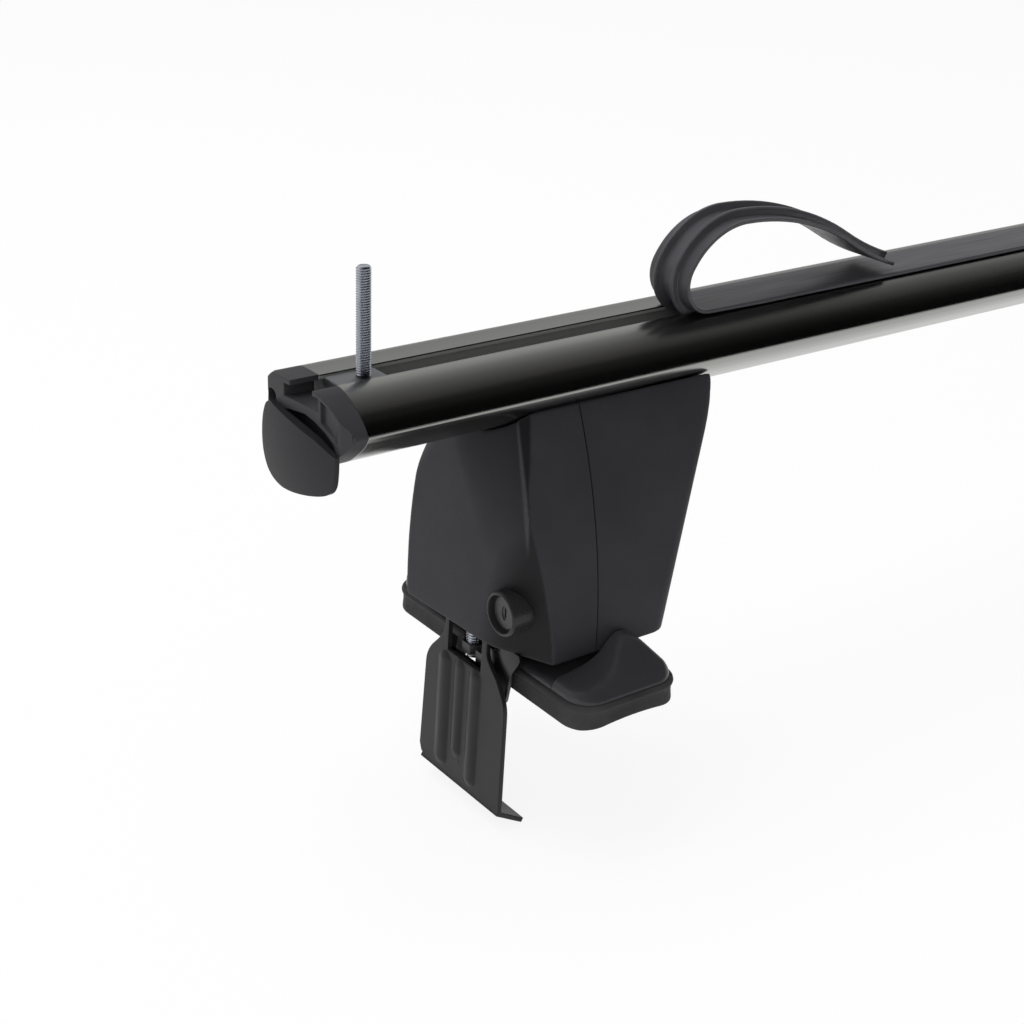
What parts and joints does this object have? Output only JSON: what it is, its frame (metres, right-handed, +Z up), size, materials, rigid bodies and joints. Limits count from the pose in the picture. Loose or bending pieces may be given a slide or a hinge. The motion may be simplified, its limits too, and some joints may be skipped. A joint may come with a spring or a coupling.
{
  "type": "roof rack crossbar",
  "caption": "Load bar with a T-slot, rubber slot strip, slotted end caps and clamp feet with lockable covers, hooks and rocking rubber pads.",
  "frame": {"origin": "middle of the bar in plan, in the plane of the two rubber soles' lower edges", "axes": "+X along the bar, +Z up, -Y towards the lock of the near foot; the near foot and the open end cap are at -X"},
  "size_m": [1.114, 0.15, 0.2554],
  "materials": {
    "bar": "dark satin anodised extrusion",
    "strip": "satin black extruded rubber",
    "zinc": "bright zinc plated",
    "cap": "fine matt moulding",
    "bracket": "black powder coat",
    "cover": "fine matt moulding",
    "lock": "satin",
    "steel": "plain",
    "dark_steel": "black oxide",
    "saddle": "fine matt moulding",
    "sole": "matt rubber",
    "hook": "satin black paint"
  },
  "bodies": {
    "bar": {"crossbar": "bar", "slot_strip": "strip", "cap_near": "cap", "cap_near_pin": "steel", "cap_near_screw": "dark_steel", "cap_far": "cap", "cap_far_pin": "steel", "cap_far_screw": "dark_steel"},
    "stud": {"t_bolt": "zinc"},
    "lid_near": {"cap_near_lid": "cap"},
    "lid_far": {"cap_far_lid": "cap"},
    "foot_near": {"near_bracket": "bracket", "near_inner_cover": "cover", "near_pivot_pin": "steel", "near_pin_clips": "dark_steel", "near_washer": "zinc", "near_clamp_bolts": "zinc", "near_clamp_nuts": "zinc", "near_clamp_washers": "zinc"},
    "cover_near": {"near_outer_cover": "cover"},
    "lock_near": {"near_lock_plug": "lock", "near_lock_cam": "steel", "near_cam_screw": "steel"},
    "hook_near": {"near_hook": "hook", "near_hook_nut": "dark_steel"},
    "screw_near": {"near_tension_screw": "zinc", "near_stop_nut": "dark_steel"},
    "pad_near": {"near_saddle": "saddle", "near_sole": "sole"},
    "foot_far": {"far_bracket": "bracket", "far_inner_cover": "cover", "far_pivot_pin": "steel", "far_pin_clips": "dark_steel", "far_washer": "zinc", "far_clamp_bolts": "zinc", "far_clamp_nuts": "zinc", "far_clamp_washers": "zinc"},
    "cover_far": {"far_outer_cover": "cover"},
    "lock_far": {"far_lock_plug": "lock", "far_lock_cam": "steel", "far_cam_screw": "steel"},
    "hook_far": {"far_hook": "hook", "far_hook_nut": "dark_steel"},
    "screw_far": {"far_tension_screw": "zinc", "far_stop_nut": "dark_steel"},
    "pad_far": {"far_saddle": "saddle", "far_sole": "sole"}
  },
  "joints": [
    {"name": "stud_slide", "type": "slide", "parent": "bar", "child": "stud", "axis": [1, 0, 0], "range_m": [-0.01, 0.11]},
    {"name": "lid_near_swing", "type": "hinge", "parent": "bar", "child": "lid_near", "pos_m": [-0.55383, 0.01841, 0.1318], "axis": [0.9946, 0.1036, 0], "range_deg": [-14, 45]},
    {"name": "lid_far_swing", "type": "hinge", "parent": "bar", "child": "lid_far", "pos_m": [0.55383, 0.01841, 0.1318], "axis": [0.9946, -0.1036, 0], "range_deg": [0, 59]},
    {"name": "foot_near_slide", "type": "slide", "parent": "bar", "child": "foot_near", "axis": [1, 0, 0], "range_m": [-0.012, 0.1]},
    {"name": "cover_near_lift_off", "type": "slide", "parent": "foot_near", "child": "cover_near", "axis": [-1, 0, 0], "range_m": [0, 0.06]},
    {"name": "lock_near_turn", "type": "hinge", "parent": "cover_near", "child": "lock_near", "pos_m": [-0.4739, -0.0277, 0.0421], "axis": [-1, 0, 0], "range_deg": [0, 90]},
    {"name": "screw_near_turn", "type": "hinge", "parent": "foot_near", "child": "screw_near", "pos_m": [-0.4632, 0.006, 0.08], "axis": [0, 0, 1], "range_deg": [-2880, 2880]},
    {"name": "hook_near_lift", "type": "slide", "parent": "foot_near", "child": "hook_near", "axis": [0, 0, 1], "range_m": [-0.01, 0.01]},
    {"name": "pad_near_rock", "type": "hinge", "parent": "foot_near", "child": "pad_near", "pos_m": [-0.4314, 0, 0.026], "axis": [0, 1, 0], "range_deg": [-6, 6]},
    {"name": "foot_far_slide", "type": "slide", "parent": "bar", "child": "foot_far", "axis": [1, 0, 0], "range_m": [-0.1, 0.012]},
    {"name": "cover_far_lift_off", "type": "slide", "parent": "foot_far", "child": "cover_far", "axis": [1, 0, 0], "range_m": [0, 0.06]},
    {"name": "lock_far_turn", "type": "hinge", "parent": "cover_far", "child": "lock_far", "pos_m": [0.4739, 0.0277, 0.0421], "axis": [1, 0, 0], "range_deg": [0, 90]},
    {"name": "screw_far_turn", "type": "hinge", "parent": "foot_far", "child": "screw_far", "pos_m": [0.4632, -0.006, 0.08], "axis": [0, 0, 1], "range_deg": [-2880, 2880]},
    {"name": "hook_far_lift", "type": "slide", "parent": "foot_far", "child": "hook_far", "axis": [0, 0, 1], "range_m": [-0.01, 0.01]},
    {"name": "pad_far_rock", "type": "hinge", "parent": "foot_far", "child": "pad_far", "pos_m": [0.4314, 0, 0.026], "axis": [0, 1, 0], "range_deg": [-6, 6]}
  ],
  "couplings": [
    {"joint": "screw_near_turn", "follows": "hook_near_lift", "rad_per_m": -5026.5},
    {"joint": "screw_far_turn", "follows": "hook_far_lift", "rad_per_m": -5026.5}
  ]
}
